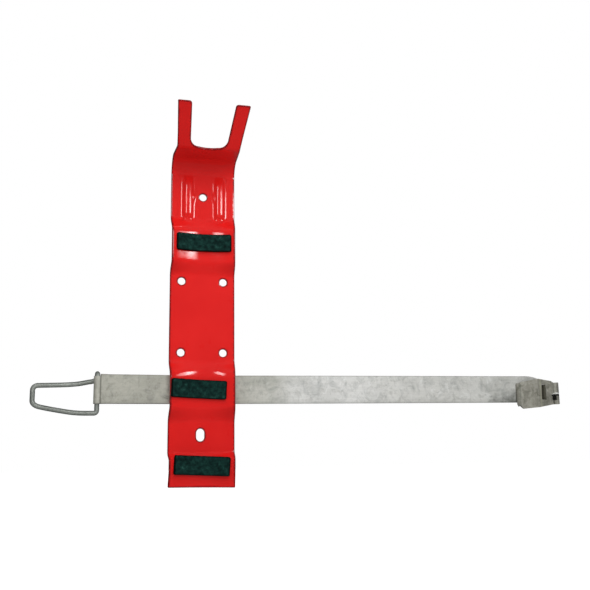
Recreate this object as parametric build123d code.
from build123d import *
import math
import os

# Heavy-duty cylinder bracket: a back plate with a neck fork, three pads on adhesive
# film, and a band with a bail wire on its left end and an over-centre latch on its right.
# Frame: +X to the right seen from the cylinder side, +Y into the wall, +Z up; front is -Y.
# Origin: centre of the four wall holes on the plate's back face.  Millimetres, degrees.

# ---- back plate: pairs are (lower z, upper z) ----
PLATE_W = 88.9
PLATE_T = 3.0
SADDLE_MID_R = 113.5          # on the sheet's mid surface
SADDLE_FRONT_R = SADDLE_MID_R - PLATE_T / 2
SADDLE_RISE = 4.8             # a saddle's back face stands this far off the wall
SADDLE_FRONT_Y = -PLATE_T - SADDLE_RISE         # front face at the centre line
SADDLE_AXIS_Y = -PLATE_T / 2 - SADDLE_RISE - SADDLE_MID_R
TOP_FLAT = (140.0, 200.0)
UPPER_SADDLE = (77.0, 114.0)
MID_FLAT = (-58.0, 57.0)
MIDDLE_SADDLE = (-120.0, -83.5)
LOW_FLAT = (-180.0, -143.0)
LOWER_SADDLE = (-202.0, -191.0)
BOTTOM_Z = -226.0             # bottom edge at the plate's centre
BOTTOM_SPARE = 3.0            # sheet below that edge, trimmed away
BOTTOM_SLANT = 1.35           # the trimmed edge falls to the right
BOTTOM_BLEND = 0.62           # part of the saddle shape left at the bottom edge

HOLE_R = 5.15
HOLE_DX = 57.15
HOLE_DZ = 98.0
TOP_HOLE_Z = 169.9
WALL_SLOT_X = -1.5
WALL_SLOT_Z = -158.4
WALL_SLOT_W = 11.0
WALL_SLOT_L = 16.6
DRILL_Y = (-12, 8)            # reach of the wall hole cuts

# ---- stiffening beads ----
BEAD_X = 22.6
BEAD_HALF_W = 8.2
BEAD_H = 3.0
BEAD_Z = (145.5, 191.5)       # centres of the two rounded ends

# ---- neck fork: a shelf to the front, then two prongs rising from it ----
SHELF_BEND_R = 22.0           # mid-surface radius, plate to shelf
SHELF_Z = TOP_FLAT[1] + SHELF_BEND_R            # mid surface
SHELF_APEX_Y = -56.3          # where shelf and prongs would meet without a radius
SHELF_TAPER_Y = -24.0         # the shelf narrows in front of this
SHELF_HALF_ROOT = 42.4        # half width at the prong roots
PRONG_ANGLE = math.radians(38.6)                # above the shelf
PRONG_BEND_R = 7.5
PRONG_STUB = 6.0              # start of the prongs, made with the shelf's profile
PRONG_START = 5.0             # the flat prong blank starts here, inside the stub
PRONG_FLARE = 20.0            # the outer edges change slope here
PRONG_LEN = 67.5              # from the apex line to the tips
TIP_HALF = 47.6               # half width over the tips
TIP_INNER_R = 3.6
TIP_OUTER_R = 1.6
NECK_X = -0.5                 # neck slot's centre line
NECK_HALF_ROOT = 25.2
NECK_HALF_TIP = 28.7
NECK_STRAIGHT = 15.0          # the slot widens beyond this distance up the prongs
NECK_CORNER_R = 13.0
NECK_CORNER_BASE = 1.8        # base line of the root corners
NECK_FLOOR = (1.0, -1.0)      # slot bottom at its ends and at its middle
NECK_OVERSHOOT = 8

# ---- pads ----
PAD_T = 4.6
TAPE_T = 0.3
TAPE_INSET = 1.2
PAD_CORNER = 1.6
# name: (left x, right x, centre z, height, tilt down to the right)
PADS = {
    "upper": (-37.3, 37.0, 102.2, 24.3, 0.2),
    "middle": (-42.0, 30.8, -98.4, 24.9, 2.5),
    "lower": (-37.6, 37.0, -198.0, 25.2, 2.95),
}

# ---- band: a main layer, an eye rolled at its left end, a tail back in front of it ----
BAND_W = 38.1
BAND_T = 1.5
BAND_Z = -98.6
BAND_BOTTOM = BAND_Z - BAND_W / 2
BAND_TOP = BAND_Z + BAND_W / 2
HALF_GAP = 0.02               # half the gap between the two layers
LAYER_Y = -3.22               # middle of that gap at the plate's centre line
BAND_BACK = -HALF_GAP - BAND_T                  # main layer's back, measured to the front
KINK_X = 20.0                 # half length of the straight middle
LEFT_ANGLE = math.radians(4.0)                  # the legs lead off to the front
RIGHT_ANGLE = math.radians(3.2)
WIRE_R = 3.1
EYE_INNER_R = WIRE_R + 0.08
EYE_OUTER_R = EYE_INNER_R + BAND_T
EYE_OUT = 116.1               # eye centre, along the left leg
EYE_NECK = 12.0               # the layers join the eye this far from its centre
EYE_SLIT = 9.6                # the gap between them starts here
EYE_TOP_CUT = 2.6
TAIL_END_X = 18.0
TAIL_INSET = 0.35             # the tail is this much narrower on each edge
HINGE_OUT = 497.6             # hinge axis, along the right leg
HINGE_FRONT = 0.5             # and in front of the layer plane
BAND_END = 26.0               # the band stops this far short of the hinge axis
BAND_TAPER = 20.0
BAND_END_W = 29.0

# ---- rivets ----
RIVET_R = 2.5
RIVET_DZ = 7.0
STRAP_RIVET_Z = (BAND_Z - RIVET_DZ, BAND_Z + RIVET_DZ)
STRAP_HEAD_R = 4.5
STRAP_HEAD_H = 2.0
STRAP_TAIL_R = (4.6, 3.4)     # formed end, against the band and at its free face
LEAF_HEAD_R = 4.0
LEAF_HEAD_H = 1.0
LEAF_TAIL_R = (4.3, 3.2)      # formed end, against the leaf and at its free face
RIVET_TAIL_H = 1.2
RIVET_OVERLAP = 0.5           # shank runs this far into the formed end

# ---- hinge and lever ----
PIN_R = 2.0
PIN_FLARE_R = 2.7
PIN_FLARE_H = 0.8
PIN_SUNK = 0.05               # pin ends lie this far inside the knuckles
PIN_LEAF_CLEAR = 0.02
PIN_LEVER_CLEAR = 0.05
KNUCKLE_R = 4.0
KNUCKLE_CSK_H = 1.0
KNUCKLE_CSK_GROWTH = 0.9      # radius gained over the countersink
AXIAL_CLEAR = 0.25
LATCH_Z = -104.6
LATCH_H = 31.2                # height over the knuckles
LATCH_BOTTOM = LATCH_Z - LATCH_H / 2
LATCH_TOP = LATCH_Z + LATCH_H / 2
SPLIT_TOP = -105.8            # the upper knuckle ends here
SPLIT_BOTTOM = -114.6         # the lower knuckle starts here
LEAF_T = 2.0
LEAF_LEN = 74.0
LEAF_W = 25.0
LEAF_SHOULDER = 9.5           # full width stops this far from the hinge axis
LEAF_BACK = BAND_BACK - LEAF_T
LEAF_RIVETS = (42.0, 57.0)    # distances from the hinge axis
LEAF_RIVET_Z = LATCH_Z + 1.0

LEVER_T = 2.0
LEVER_REST = math.radians(19.0)                 # the web stands off the band by this
LEVER_MID = -KNUCKLE_R + LEVER_T / 2            # web's mid surface, tangent to the knuckles
LEVER_BLANK_Z = (-140.0, -75.0)
WEB_LEN = 33.7
HANDLE_BEND = math.radians(24.0)
HANDLE_BEND_R = 4.0
HANDLE_LEN = 24.5
LIP_R = 5.0
LIP_ANGLE = math.radians(78.0)
LIP_STRAIGHT = 1.6
RIDGE_Z = (-124.8, -83.9)     # lever edges at the handle bend
END_Z = (-126.9, -88.2)       # lever edges at the handle end
NOTCH_DEPTH = 7.4
WINDOW_S = (19.1, 27.8)
WINDOW_Z = (-113.6, -92.4)
WINDOW_SLANT = 0.9            # the far side is this much nearer the hinge at the top
TONGUE_H = 5.8
TONGUE_LEAN = math.radians(12.0)
TONGUE_BEND_R = 2.0
TONGUE_ROOT = 4.0             # starts this far on the hinge side of the window
TONGUE_SETBACK = 1.2          # bend apex inside the window
TONGUE_GAP = 0.8              # to the window's lower and upper edges

# ---- bail wire ----
RETURN_R = 4.0                # return bend over the eye's top, on the centreline
RETURN_Z = BAND_TOP - EYE_TOP_CUT - 0.5         # where the return bend starts
BAIL_BOTTOM = -129.6
BAIL_CORNER_R = 3.6
BAIL_LOW_SLOPE = 0.245        # rise per unit outwards at the end of the lower leg
# Centreline points: (outwards from the eye, to the front, z)
BAIL_LOWER_LEG = [(19.0, 0.0, -129.5), (31.5, 0.0, -128.6), (43.8, 0.0, -126.7),
                  (56.2, 0.0, -124.5), (70.5, 0.0, -121.5)]
BAIL_TIP_IN = (76.8, 0.0, -118.4)
BAIL_TIP_LOW = (79.0, 0.0, -113.3)
BAIL_TIP_HIGH = (79.0, -0.4, -101.4)
BAIL_TIP_OUT = (77.5, -0.6, -97.0)
BAIL_UPPER_LEG = [(72.6, -1.0, -94.8), (57.6, -3.0, -94.2), (33.0, -6.3, -92.9),
                  (20.6, -7.6, -91.4), (8.0, -8.0, -89.0)]
BAIL_CORNER_MID = (2.6, -8.0, -87.2)


# ---- helpers ----
def shift(point, direction, distance):
    return (point[0] + direction[0] * distance, point[1] + direction[1] * distance)


def unit(vector):
    length = math.hypot(vector[0], vector[1])
    return (vector[0] / length, vector[1] / length)


def normal(direction):
    """Left-hand normal."""
    return (-direction[1], direction[0])


def strip_side(points, directions, radii, offset):
    """Edges of one side of a strip, with its first and last point."""
    first = shift(points[0], normal(directions[0]), offset)
    current = first
    edges = []
    for i, radius in enumerate(radii, start=1):
        before, after = directions[i - 1], directions[i]
        cross = before[0] * after[1] - before[1] * after[0]
        dot = before[0] * after[0] + before[1] * after[1]
        turn = math.atan2(cross, dot)
        sign = 1.0 if turn > 0 else -1.0
        setback = radius * math.tan(abs(turn) / 2)
        bend_start = shift(points[i], before, -setback)
        bend_end = shift(points[i], after, setback)
        centre = shift(bend_start, normal(before), sign * radius)
        arc_start = shift(bend_start, normal(before), offset)
        arc_end = shift(bend_end, normal(after), offset)
        to_middle = unit((arc_start[0] + arc_end[0] - 2 * centre[0],
                          arc_start[1] + arc_end[1] - 2 * centre[1]))
        arc_middle = shift(centre, to_middle, radius - sign * offset)
        # a bend may start right where the previous piece ends
        if math.hypot(arc_start[0] - current[0], arc_start[1] - current[1]) > 1e-6:
            edges.append(Line(current, arc_start))
        edges.append(ThreePointArc(arc_start, arc_middle, arc_end))
        current = arc_end
    last = shift(points[-1], normal(directions[-1]), offset)
    edges.append(Line(current, last))
    return edges, first, last


def strip_face(points, radii, thickness):
    """Strip centred on a polyline whose inner corners are rounded by radii."""
    directions = [unit((end[0] - start[0], end[1] - start[1]))
                  for start, end in zip(points, points[1:])]
    left, left_first, left_last = strip_side(points, directions, radii, thickness / 2)
    right, right_first, right_last = strip_side(points, directions, radii, -thickness / 2)
    ends = [Line(left_first, right_first), Line(left_last, right_last)]
    return Face(Wire(left + right + ends))


def polygon(points):
    return make_face(Polyline(*points, close=True))


def both_sides(right_half):
    """Outline symmetric about local x = 0, from its right half."""
    return right_half + [(-x, y) for x, y in reversed(right_half)]


def prism(points, z0, z1):
    """Vertical prism over a polygon given in X, Y."""
    return extrude(Plane.XY.offset(z0) * polygon(points), amount=z1 - z0, dir=(0, 0, 1))


def y_cylinder(x, y0, y1, z, radius):
    return Plane(origin=(x, (y0 + y1) / 2, z), z_dir=(0, 1, 0)) * Cylinder(radius, abs(y1 - y0))


def y_cone(y0, z, start_r, end_r, height):
    """Cone on the plane X = 0, running in +Y from y0."""
    return Plane(origin=(0, y0 + height / 2, z), z_dir=(0, 1, 0)) * Cone(start_r, end_r, height)


def z_cylinder(x, y, z0, z1, radius):
    return Pos(x, y, (z0 + z1) / 2) * Cylinder(radius, z1 - z0)


def one(shape):
    """The single solid of a shape."""
    solids = shape.solids()
    if len(solids) != 1:
        raise ValueError("expected one solid, got %d" % len(solids))
    return solids[0]


# ---- back plate ----
def section(blend, z):
    """Plate section at height z; blend 0 is flat on the wall, 1 is a full saddle."""
    half = PLATE_W / 2
    if blend < 1e-6:
        corners = [(-half, -PLATE_T), (half, -PLATE_T), (half, 0.0), (-half, 0.0)]
        edges = [Line(corners[i], corners[(i + 1) % 4]) for i in range(4)]
    else:
        mid_r = SADDLE_MID_R / blend
        axis_y = -PLATE_T / 2 - SADDLE_RISE * blend - mid_r
        half_angle = half / mid_r

        def arc_points(radius):
            return [(radius * math.sin(angle), axis_y + radius * math.cos(angle))
                    for angle in (-half_angle, 0, half_angle)]

        front = arc_points(mid_r - PLATE_T / 2)
        back = arc_points(mid_r + PLATE_T / 2)[::-1]
        edges = [ThreePointArc(*front), Line(front[2], back[0]),
                 ThreePointArc(*back), Line(back[2], front[0])]
    return Plane.XY.offset(z) * Face(Wire(edges))


def ramp(z_start, z_end, blend_start=0.0, blend_end=1.0, steps=6, roll=1.0):
    """Smooth transition; roll above 1 leaves the end shape more slowly."""
    sections = []
    for i in range(steps + 1):
        part = i / steps
        rest = (1 - part) ** roll
        weight = 1 - rest * rest * (3 - 2 * rest)
        sections.append(section(blend_start + (blend_end - blend_start) * weight,
                                z_start + (z_end - z_start) * part))
    return loft(sections)


def saddle(z0, z1):
    return extrude(section(1.0, z0), amount=z1 - z0, dir=(0, 0, 1))


def flat(z0, z1):
    return Pos(0, -PLATE_T / 2, (z0 + z1) / 2) * Box(PLATE_W, PLATE_T, z1 - z0)


def build_sheet():
    """Flats and saddles from top to bottom, with the slanted bottom edge."""
    sheet = flat(*TOP_FLAT)
    sheet += ramp(TOP_FLAT[0], UPPER_SADDLE[1], steps=8, roll=1.5)
    sheet += saddle(*UPPER_SADDLE)
    sheet += ramp(MID_FLAT[1], UPPER_SADDLE[0])
    sheet += flat(*MID_FLAT)
    sheet += ramp(MID_FLAT[0], MIDDLE_SADDLE[1], steps=8, roll=1.5)
    sheet += saddle(*MIDDLE_SADDLE)
    sheet += ramp(LOW_FLAT[1], MIDDLE_SADDLE[0])
    sheet += flat(*LOW_FLAT)
    sheet += ramp(LOW_FLAT[0], LOWER_SADDLE[1])
    sheet += saddle(*LOWER_SADDLE)
    sheet += ramp(LOWER_SADDLE[0], BOTTOM_Z - BOTTOM_SPARE, 1.0, BOTTOM_BLEND)
    trim = Pos(0, 0, -20) * Box(130, 60, 40)
    sheet -= Pos(0, -10, BOTTOM_Z) * Rot(0, BOTTOM_SLANT, 0) * trim
    return sheet


def capsule(x, y, radius):
    z0, z1 = BEAD_Z
    return (z_cylinder(x, y, z0, z1, radius)
            + Pos(x, y, z0) * Sphere(radius) + Pos(x, y, z1) * Sphere(radius))


def add_beads(body):
    """Two round-ended beads pressed forward, hollow from behind."""
    outer_r = (BEAD_HALF_W ** 2 + BEAD_H ** 2) / (2 * BEAD_H)
    axis_y = -PLATE_T - BEAD_H + outer_r
    front_zone = Pos(0, -27.0, 170) * Box(200, 50.0, 200)   # reaches 1 mm into the sheet
    for side in (-1, 1):
        body += capsule(side * BEAD_X, axis_y, outer_r) & front_zone
        body -= capsule(side * BEAD_X, axis_y, outer_r - PLATE_T)
    return body


# Plane of the prongs: local x = X, local y runs up the prongs from the apex line
PRONG_PLANE = Plane(origin=(0, SHELF_APEX_Y, SHELF_Z), x_dir=(1, 0, 0),
                    z_dir=(0, -math.sin(PRONG_ANGLE), -math.cos(PRONG_ANGLE)))


def build_shelf():
    """Both bends and the shelf: a profile in Y, Z, trimmed to the plan outline."""
    plate_y = -PLATE_T / 2
    apex = (SHELF_APEX_Y, SHELF_Z)
    up_prong = (-math.cos(PRONG_ANGLE), math.sin(PRONG_ANGLE))
    centreline = [(plate_y, TOP_FLAT[1]), (plate_y, SHELF_Z), apex,
                  shift(apex, up_prong, PRONG_STUB)]
    profile = strip_face(centreline, [SHELF_BEND_R, PRONG_BEND_R], PLATE_T)
    side_plane = Plane(origin=(-60, 0, 0), x_dir=(0, 1, 0), z_dir=(1, 0, 0))
    shelf = extrude(side_plane * profile, amount=120, dir=(1, 0, 0))
    plan = both_sides([(PLATE_W / 2, 5), (PLATE_W / 2, SHELF_TAPER_Y),
                       (SHELF_HALF_ROOT, SHELF_APEX_Y - 1.0), (SHELF_HALF_ROOT + 0.4, -75)])
    return shelf & prism(plan, 150, 300)


def build_prong_blank():
    outline = both_sides([(SHELF_HALF_ROOT + 0.3, PRONG_START),
                          (SHELF_HALF_ROOT + 1.3, PRONG_FLARE), (TIP_HALF, PRONG_LEN)])
    return extrude(PRONG_PLANE * polygon(outline), amount=PLATE_T / 2, both=True)


def neck_half(distance):
    """Half width of the neck slot at a distance up the prongs."""
    widening = NECK_HALF_TIP - NECK_HALF_ROOT
    beyond = max(0.0, distance - NECK_STRAIGHT)
    return NECK_HALF_ROOT + widening * beyond / (PRONG_LEN - NECK_STRAIGHT)


def neck_slot_cut():
    """Nearly straight sides, big root corners, shallow curved bottom."""
    radius = NECK_CORNER_R
    bulge = radius * (1 - math.sqrt(0.5))
    top_y = PRONG_LEN + NECK_OVERSHOOT
    top = (neck_half(top_y), top_y)
    side_foot = (NECK_HALF_ROOT, NECK_CORNER_BASE + radius)
    corner = (NECK_HALF_ROOT - bulge, NECK_CORNER_BASE + bulge)
    floor_end = (NECK_HALF_ROOT - radius, NECK_FLOOR[0])

    def left(point):
        return (-point[0], point[1])

    edges = [
        Line(left(top), left(side_foot)),
        ThreePointArc(left(side_foot), left(corner), left(floor_end)),
        ThreePointArc(left(floor_end), (0, NECK_FLOOR[1]), floor_end),
        ThreePointArc(floor_end, corner, side_foot),
        Line(side_foot, top),
        Line(top, left(top)),
    ]
    return extrude(PRONG_PLANE * (Pos(NECK_X, 0) * Face(Wire(edges))), amount=20, both=True)


def tip_corner_cut(x, inward, radius):
    """Rounds the prong tip corner at x; inward is the X sign towards the metal."""
    centre_x = x + inward * radius
    centre_y = PRONG_LEN - radius
    square = polygon([(x - inward * 2, PRONG_LEN + 2), (centre_x, PRONG_LEN + 2),
                      (centre_x, centre_y), (x - inward * 2, centre_y)])
    cut = extrude(PRONG_PLANE * square, amount=8, both=True)
    disc = Pos(centre_x, centre_y) * Circle(radius)
    return cut - extrude(PRONG_PLANE * disc, amount=9, both=True)


def cut_wall_holes(body):
    for x in (-HOLE_DX / 2, HOLE_DX / 2):
        for z in (-HOLE_DZ / 2, HOLE_DZ / 2):
            body -= y_cylinder(x, *DRILL_Y, z, HOLE_R)
    body -= y_cylinder(0, *DRILL_Y, TOP_HOLE_Z, HOLE_R)
    half = (WALL_SLOT_L - WALL_SLOT_W) / 2
    slot = Pos(WALL_SLOT_X, -3, WALL_SLOT_Z) * Box(WALL_SLOT_W, 20, 2 * half)
    slot += (y_cylinder(WALL_SLOT_X, -13, 7, WALL_SLOT_Z - half, WALL_SLOT_W / 2)
             + y_cylinder(WALL_SLOT_X, -13, 7, WALL_SLOT_Z + half, WALL_SLOT_W / 2))
    return body - slot


def strap_countersink(z):
    """Countersink in the saddle's front face, open 2 mm to the front."""
    mouth = Plane(origin=(0, SADDLE_FRONT_Y - 1.0, z), z_dir=(0, 1, 0))
    return (y_cone(SADDLE_FRONT_Y, z, STRAP_HEAD_R, RIVET_R, STRAP_HEAD_H)
            + mouth * Cylinder(STRAP_HEAD_R, 2.0))


def build_plate():
    body = add_beads(build_sheet())
    body += build_shelf()
    body += build_prong_blank()
    body -= neck_slot_cut()
    for side in (-1, 1):
        body -= tip_corner_cut(NECK_X + side * neck_half(PRONG_LEN), side, TIP_INNER_R)
        body -= tip_corner_cut(side * TIP_HALF, -side, TIP_OUTER_R)
    body = cut_wall_holes(body)
    for z in STRAP_RIVET_Z:
        body -= y_cylinder(0, -20, 0, z, RIVET_R)
        body -= strap_countersink(z)
    return one(body)


# ---- pads and their adhesive film ----
def curved_layer(spec, outer_r, thickness, inset):
    """Piece of a cylindrical shell, cut to a pad's outline less the inset."""
    left_x, right_x, z, height, tilt = spec
    z0, z1 = z - 25, z + 25
    shell = (z_cylinder(0, SADDLE_AXIS_Y, z0, z1, outer_r)
             - z_cylinder(0, SADDLE_AXIS_Y, z0 - 1, z1 + 1, outer_r - thickness))
    block = Box(right_x - left_x - 2 * inset, 60, height - 2 * inset)
    block = fillet(block.edges().filter_by(Axis.Y), PAD_CORNER - inset * 0.5)
    return one(shell & Pos((left_x + right_x) / 2, -20, z) * Rot(0, tilt, 0) * block)


def build_pad(spec):
    return curved_layer(spec, SADDLE_FRONT_R - TAPE_T, PAD_T, 0.0)


def build_tape(spec):
    return curved_layer(spec, SADDLE_FRONT_R, TAPE_T, TAPE_INSET)


# ---- leg frames: unit directions in X, Y, outwards along a leg and to its front ----
LEFT_OUT = (-math.cos(LEFT_ANGLE), -math.sin(LEFT_ANGLE))
LEFT_FRONT = (math.sin(LEFT_ANGLE), -math.cos(LEFT_ANGLE))
RIGHT_OUT = (math.cos(RIGHT_ANGLE), -math.sin(RIGHT_ANGLE))
RIGHT_FRONT = (-math.sin(RIGHT_ANGLE), -math.cos(RIGHT_ANGLE))


def left_point(out, front):
    """Point out from the left kink, front of the layer plane."""
    return shift(shift((-KINK_X, LAYER_Y), LEFT_OUT, out), LEFT_FRONT, front)


def right_point(out, front):
    """Point out from the right kink, front of the layer plane."""
    return shift(shift((KINK_X, LAYER_Y), RIGHT_OUT, out), RIGHT_FRONT, front)


EYE_CENTRE = left_point(EYE_OUT, 0.0)
HINGE_CENTRE = right_point(HINGE_OUT, HINGE_FRONT)


# ---- band ----
def teardrop(radius, length, half_height, end):
    """Circle with tangents to (length, +-half_height), running on to x = end if longer."""
    angle = math.atan2(half_height, length) + math.acos(
        radius / math.hypot(length, half_height))
    x, y = radius * math.cos(angle), radius * math.sin(angle)
    points = [(0, 0), (x, y), (length, half_height)]
    if end > length:
        points += [(end, half_height), (end, -half_height)]
    points += [(length, -half_height), (x, -y)]
    return polygon(points) + Circle(radius)


def eye_face():
    """Rolled eye's section; local x points back towards the band."""
    outer = teardrop(EYE_OUTER_R, EYE_NECK, BAND_T + HALF_GAP, end=EYE_NECK)
    inner = teardrop(EYE_INNER_R, EYE_SLIT, HALF_GAP, end=EYE_NECK + 1)
    return mirror(outer - inner, Plane.XZ)


def mitre(side, front):
    """Corner of a layer face at the left (-1) or right (1) kink."""
    angle = LEFT_ANGLE if side < 0 else RIGHT_ANGLE
    return (side * (KINK_X + front * math.tan(angle / 2)), LAYER_Y - front)


def band_end_cuts():
    """Cuts that taper and round the band's right end, below and above."""
    x, y = right_point(HINGE_OUT - BAND_END, 0)
    plane = Plane(origin=(x, y, BAND_Z), x_dir=(*RIGHT_OUT, 0), z_dir=(*RIGHT_FRONT, 0))
    half, end_half = BAND_W / 2, BAND_END_W / 2
    cuts = []
    for side in (-1, 1):
        start = (-BAND_TAPER, side * half)
        middle = (-BAND_TAPER * 0.45, side * (half - (half - end_half) * 0.30))
        corners = [(0, side * end_half), (5, side * end_half), (5, side * (half + 5)),
                   (-BAND_TAPER, side * (half + 5)), start]
        edges = [ThreePointArc(start, middle, corners[0])]
        edges += [Line(a, b) for a, b in zip(corners, corners[1:])]
        cuts.append(extrude(plane * Face(Wire(edges)), amount=8, both=True))
    return cuts


def build_band():
    neck_out = EYE_OUT - EYE_NECK
    end_out = HINGE_OUT - BAND_END
    tail_front = HALF_GAP + BAND_T
    main = [left_point(neck_out, -HALF_GAP), mitre(-1, -HALF_GAP), mitre(1, -HALF_GAP),
            right_point(end_out, -HALF_GAP), right_point(end_out, BAND_BACK),
            mitre(1, BAND_BACK), mitre(-1, BAND_BACK), left_point(neck_out, BAND_BACK)]
    tail = [left_point(neck_out, HALF_GAP), mitre(-1, HALF_GAP),
            (TAIL_END_X, LAYER_Y - HALF_GAP), (TAIL_END_X, LAYER_Y - tail_front),
            mitre(-1, tail_front), left_point(neck_out, tail_front)]
    body = prism(main, BAND_BOTTOM, BAND_TOP)
    tail_layer = prism(tail, BAND_BOTTOM + TAIL_INSET, BAND_TOP - TAIL_INSET)
    eye_plane = Plane(origin=(*EYE_CENTRE, BAND_BOTTOM),
                      x_dir=(-LEFT_OUT[0], -LEFT_OUT[1], 0), z_dir=(0, 0, 1))
    eye = extrude(eye_plane * eye_face(), amount=BAND_W, dir=(0, 0, 1))
    body = body + eye + tail_layer
    # relief at the top of the eye for the wire's return bend
    relief = extrude(eye_plane * (Pos(-3.0, 0) * Rectangle(13.6, 14)),
                     amount=EYE_TOP_CUT + 1, dir=(0, 0, 1))
    body -= Pos(0, 0, BAND_W - EYE_TOP_CUT) * relief
    for cut in band_end_cuts():
        body -= cut
    for z in STRAP_RIVET_Z:
        body -= y_cylinder(0, -10, 5, z, RIVET_R)
    for distance in LEAF_RIVETS:
        body -= leaf_cylinder(distance, -6, 6, RIVET_R)
        body -= leaf_countersink(distance)
    return one(body)


def build_strap_rivets():
    """Heads flush in the saddle's front face, formed ends behind the band."""
    rivets = []
    band_back_y = LAYER_Y + HALF_GAP + BAND_T
    for z in STRAP_RIVET_Z:
        head = y_cone(SADDLE_FRONT_Y, z, STRAP_HEAD_R, RIVET_R, STRAP_HEAD_H)
        shank = y_cylinder(0, SADDLE_FRONT_Y + STRAP_HEAD_H / 2,
                           band_back_y + RIVET_OVERLAP, z, RIVET_R)
        formed_end = y_cone(band_back_y, z, *STRAP_TAIL_R, RIVET_TAIL_H)
        rivets.append(one(head + shank + formed_end))
    return Compound(children=rivets)


# ---- hinge leaf, its rivets and the pin ----
def leaf_plane(distance, front):
    """Plane facing the front, at a rivet's distance from the hinge axis."""
    x, y = right_point(HINGE_OUT - distance, front)
    return Plane(origin=(x, y, LEAF_RIVET_Z), z_dir=(*RIGHT_FRONT, 0))


def leaf_cylinder(distance, back, front, radius):
    return leaf_plane(distance, (back + front) / 2) * Cylinder(radius, front - back)


def leaf_rivet_head(distance):
    """Countersunk head, flush with the band's front face."""
    plane = leaf_plane(distance, -HALF_GAP - LEAF_HEAD_H / 2)
    return plane * Cone(RIVET_R, LEAF_HEAD_R, LEAF_HEAD_H)


def leaf_countersink(distance):
    """Cut for the head, open 1 mm to the front."""
    return (leaf_rivet_head(distance)
            + leaf_plane(distance, -HALF_GAP + 0.5) * Cylinder(LEAF_HEAD_R, 1.0))


def leaf_slab(far, near, z0, z1):
    """Slab of leaf thickness between two distances from the hinge axis."""
    return prism([right_point(HINGE_OUT - far, LEAF_BACK),
                  right_point(HINGE_OUT - near, LEAF_BACK),
                  right_point(HINGE_OUT - near, BAND_BACK),
                  right_point(HINGE_OUT - far, BAND_BACK)], z0, z1)


def build_leaf():
    """Leaf behind the band, with a narrow tab running into its knuckle."""
    z0, z1 = SPLIT_BOTTOM + AXIAL_CLEAR, SPLIT_TOP - AXIAL_CLEAR
    plate = leaf_slab(LEAF_LEN, LEAF_SHOULDER, LATCH_Z - LEAF_W / 2, LATCH_Z + LEAF_W / 2)
    tab = leaf_slab(LEAF_SHOULDER + 1, 0, z0, z1)
    barrel = z_cylinder(*HINGE_CENTRE, z0, z1, KNUCKLE_R)
    body = plate + tab + barrel
    body -= z_cylinder(*HINGE_CENTRE, z0 - 1, z1 + 1, PIN_R + PIN_LEAF_CLEAR)
    for distance in LEAF_RIVETS:
        body -= leaf_cylinder(distance, -8, 4, RIVET_R)
    return one(body)


def build_leaf_rivets():
    rivets = []
    against_leaf_r, free_r = LEAF_TAIL_R
    for distance in LEAF_RIVETS:
        shank = leaf_cylinder(distance, LEAF_BACK - RIVET_OVERLAP,
                              -HALF_GAP - LEAF_HEAD_H / 2, RIVET_R)
        end_plane = leaf_plane(distance, LEAF_BACK - RIVET_TAIL_H / 2)
        formed_end = end_plane * Cone(free_r, against_leaf_r, RIVET_TAIL_H)
        rivets.append(one(leaf_rivet_head(distance) + shank + formed_end))
    return Compound(children=rivets)


def build_pin():
    """Pin with flared ends that sit in the lever's knuckles."""
    x, y = HINGE_CENTRE
    z0, z1 = LATCH_BOTTOM + PIN_SUNK, LATCH_TOP - PIN_SUNK
    shank = z_cylinder(x, y, z0, z1, PIN_R)
    top = Pos(x, y, z1 - PIN_FLARE_H / 2) * Cone(PIN_R, PIN_FLARE_R, PIN_FLARE_H)
    bottom = Pos(x, y, z0 + PIN_FLARE_H / 2) * Cone(PIN_FLARE_R, PIN_R, PIN_FLARE_H)
    return one(shank + top + bottom)


# ---- latch lever ----
# Directions in X, Y: along the web from the hinge axis, and to the web's front
WEB_ALONG = shift(shift((0, 0), RIGHT_OUT, -math.cos(LEVER_REST)),
                  RIGHT_FRONT, math.sin(LEVER_REST))
WEB_FRONT = shift(shift((0, 0), RIGHT_OUT, math.sin(LEVER_REST)),
                  RIGHT_FRONT, math.cos(LEVER_REST))
# Profile plane: local x along the web, local y to its front
LEVER_PROFILE = Plane(origin=(*HINGE_CENTRE, 0), x_dir=(*WEB_ALONG, 0), z_dir=(0, 0, 1))
# Web plane: local x along the web, local y = Z
LEVER_FACE = Plane(origin=(*HINGE_CENTRE, 0), x_dir=(*WEB_ALONG, 0),
                   z_dir=(-WEB_FRONT[0], -WEB_FRONT[1], 0))


def lever_strip(points, radii, z0, z1):
    profile = LEVER_PROFILE * strip_face(points, radii, LEVER_T)
    return extrude(Pos(0, 0, z0) * profile, amount=z1 - z0, dir=(0, 0, 1))


def lever_cut(points, reach):
    """Block square to the web over an outline in (along the web, Z)."""
    return extrude(LEVER_FACE * polygon(points), amount=reach, both=True)


def lever_blank():
    """Web, handle and lip; both bends turn to the back."""
    ridge = (WEB_LEN, LEVER_MID)
    lip_setback = LIP_R * math.tan(LIP_ANGLE / 2)
    handle_dir = (math.cos(HANDLE_BEND), -math.sin(HANDLE_BEND))
    lip_apex = shift(ridge, handle_dir, HANDLE_LEN + lip_setback)
    lip_turn = HANDLE_BEND + LIP_ANGLE
    lip_dir = (math.cos(lip_turn), -math.sin(lip_turn))
    lip_end = shift(lip_apex, lip_dir, lip_setback + LIP_STRAIGHT)
    return lever_strip([(0.0, LEVER_MID), ridge, lip_apex, lip_end],
                       [HANDLE_BEND_R, LIP_R], *LEVER_BLANK_Z)


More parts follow.
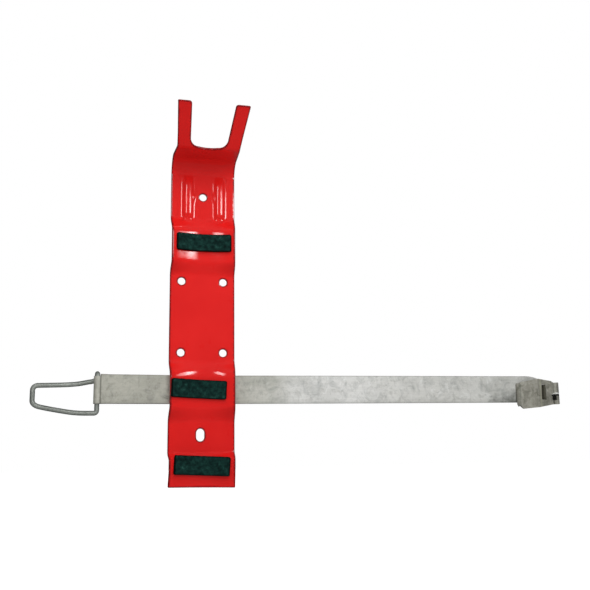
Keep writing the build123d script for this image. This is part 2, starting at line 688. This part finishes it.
def lever_outline():
    """Outline in (along the web, Z): out along the lower edge, back along the upper."""
    ridge = WEB_LEN - 1
    end = WEB_LEN + HANDLE_LEN * math.cos(HANDLE_BEND)
    low, high = END_Z
    return [
        (-6, LATCH_BOTTOM), (1.5, LATCH_BOTTOM), (7.0, LATCH_BOTTOM - 0.6),
        (ridge, RIDGE_Z[0]), (end - 1.5, low), (end + 0.3, low + 0.9),
        (end + 3.2, low + 6.0), (end + 5.4, low + 10.5), (end + 9, low + 14.0),
        (end + 9, high - 9.0), (end + 5.4, high - 6.0), (end + 3.2, high - 3.2),
        (end + 0.3, high - 0.5), (end - 1.5, high), (ridge, RIDGE_Z[1]),
        (7.0, LATCH_TOP + 2.4), (1.5, LATCH_TOP), (-6, LATCH_TOP),
    ]


def build_tongue():
    """Tongue bent to the back from the window's hinge side."""
    apex = (WINDOW_S[0] + TONGUE_SETBACK, LEVER_MID)
    tip = shift(apex, (math.sin(TONGUE_LEAN), -math.cos(TONGUE_LEAN)), TONGUE_H)
    return lever_strip([(WINDOW_S[0] - TONGUE_ROOT, LEVER_MID), apex, tip], [TONGUE_BEND_R],
                       WINDOW_Z[0] + TONGUE_GAP, WINDOW_Z[1] - TONGUE_GAP)


def build_lever():
    x, y = HINGE_CENTRE
    body = lever_blank() & lever_cut(lever_outline(), 40)
    body += (z_cylinder(x, y, SPLIT_TOP, LATCH_TOP, KNUCKLE_R)
             + z_cylinder(x, y, LATCH_BOTTOM, SPLIT_BOTTOM, KNUCKLE_R))
    bore_r = PIN_R + PIN_LEVER_CLEAR
    body -= z_cylinder(x, y, LATCH_BOTTOM - 1, LATCH_TOP + 1, bore_r)
    # countersinks for the pin's flared ends
    mouth_r = bore_r + KNUCKLE_CSK_GROWTH
    inset = KNUCKLE_CSK_H / 2
    body -= Pos(x, y, LATCH_TOP - inset) * Cone(bore_r, mouth_r, KNUCKLE_CSK_H)
    body -= Pos(x, y, LATCH_BOTTOM + inset) * Cone(mouth_r, bore_r, KNUCKLE_CSK_H)
    # notch for the leaf's knuckle
    body -= lever_cut([(-8, SPLIT_BOTTOM), (NOTCH_DEPTH, SPLIT_BOTTOM),
                       (NOTCH_DEPTH, SPLIT_TOP), (-8, SPLIT_TOP)], 12)
    near, far = WINDOW_S
    low, high = WINDOW_Z
    body -= lever_cut([(near, low), (far, low), (far - WINDOW_SLANT, high), (near, high)], 12)
    body += build_tongue()
    return one(body)


# ---- bail wire ----
def bail_point(out, front, z):
    """Point out from the eye along the left leg and to its front."""
    x, y = shift(shift(EYE_CENTRE, LEFT_OUT, out), LEFT_FRONT, front)
    return Vector(x, y, z)


def bail_direction(out, front, up):
    return bail_point(out, front, up) - bail_point(0, 0, 0)


def bail_path():
    """Centreline from the eye's top, down, around the loop and up behind the eye."""
    up = Vector(0, 0, 1)
    low_end_dir = bail_direction(1, 0, BAIL_LOW_SLOPE)
    tip_low, tip_high = bail_point(*BAIL_TIP_LOW), bail_point(*BAIL_TIP_HIGH)
    tip_dir = tip_high - tip_low
    lower_leg = [bail_point(*point) for point in BAIL_LOWER_LEG]
    upper_leg = [bail_point(*point) for point in BAIL_UPPER_LEG]
    upper_start_dir = upper_leg[1] - upper_leg[0]
    upper_end_dir = bail_direction(-9.0, 0, 1.1)
    corner_start = bail_point(0, 0, BAIL_BOTTOM + BAIL_CORNER_R)
    corner_end = bail_point(BAIL_CORNER_R, 0, BAIL_BOTTOM)
    behind_eye = bail_point(0, -2 * RETURN_R, RETURN_Z - 0.4)
    return Wire([
        Line(bail_point(0, 0, RETURN_Z), corner_start),
        TangentArc(corner_start, corner_end, tangent=(0, 0, -1)),
        Spline(corner_end, *lower_leg, tangents=[bail_direction(1, 0, 0), low_end_dir]),
        Spline(lower_leg[-1], bail_point(*BAIL_TIP_IN), tip_low, tangents=[low_end_dir, up]),
        Spline(tip_low, tip_high, tangents=[up, tip_dir]),
        Spline(tip_high, bail_point(*BAIL_TIP_OUT), upper_leg[0],
               tangents=[tip_dir, upper_start_dir]),
        Spline(*upper_leg, tangents=[upper_start_dir, upper_end_dir]),
        Spline(upper_leg[-1], bail_point(*BAIL_CORNER_MID), behind_eye,
               tangents=[upper_end_dir, up]),
        Line(behind_eye, bail_point(0, -2 * RETURN_R, RETURN_Z)),
    ])


def build_bail():
    start = bail_point(0, 0, RETURN_Z)
    ring = Plane(origin=start, z_dir=(0, 0, -1)) * Circle(WIRE_R)
    body = sweep(ring, path=bail_path(), transition=Transition.ROUND)
    # return bend over the eye's top closes the loop
    return_arc = ThreePointArc(start, bail_point(0, -RETURN_R, RETURN_Z + RETURN_R),
                               bail_point(0, -2 * RETURN_R, RETURN_Z))
    return_ring = Plane(origin=start, z_dir=(0, 0, 1)) * Circle(WIRE_R)
    body += sweep(return_ring, path=return_arc)
    return one(body)


# ---- build and export ----
nodes = {"back_plate": build_plate()}
for name, spec in PADS.items():
    nodes["pad_" + name] = build_pad(spec)
    nodes["tape_" + name] = build_tape(spec)
nodes["strap_band"] = build_band()
nodes["strap_rivets"] = build_strap_rivets()
nodes["hinge_leaf"] = build_leaf()
nodes["leaf_rivets"] = build_leaf_rivets()
nodes["hinge_pin"] = build_pin()
nodes["latch_lever"] = build_lever()
nodes["bail_wire"] = build_bail()

os.makedirs("parts", exist_ok=True)
for name, shape in nodes.items():
    shape.label = name
    export_step(shape, "parts/%s.step" % name)
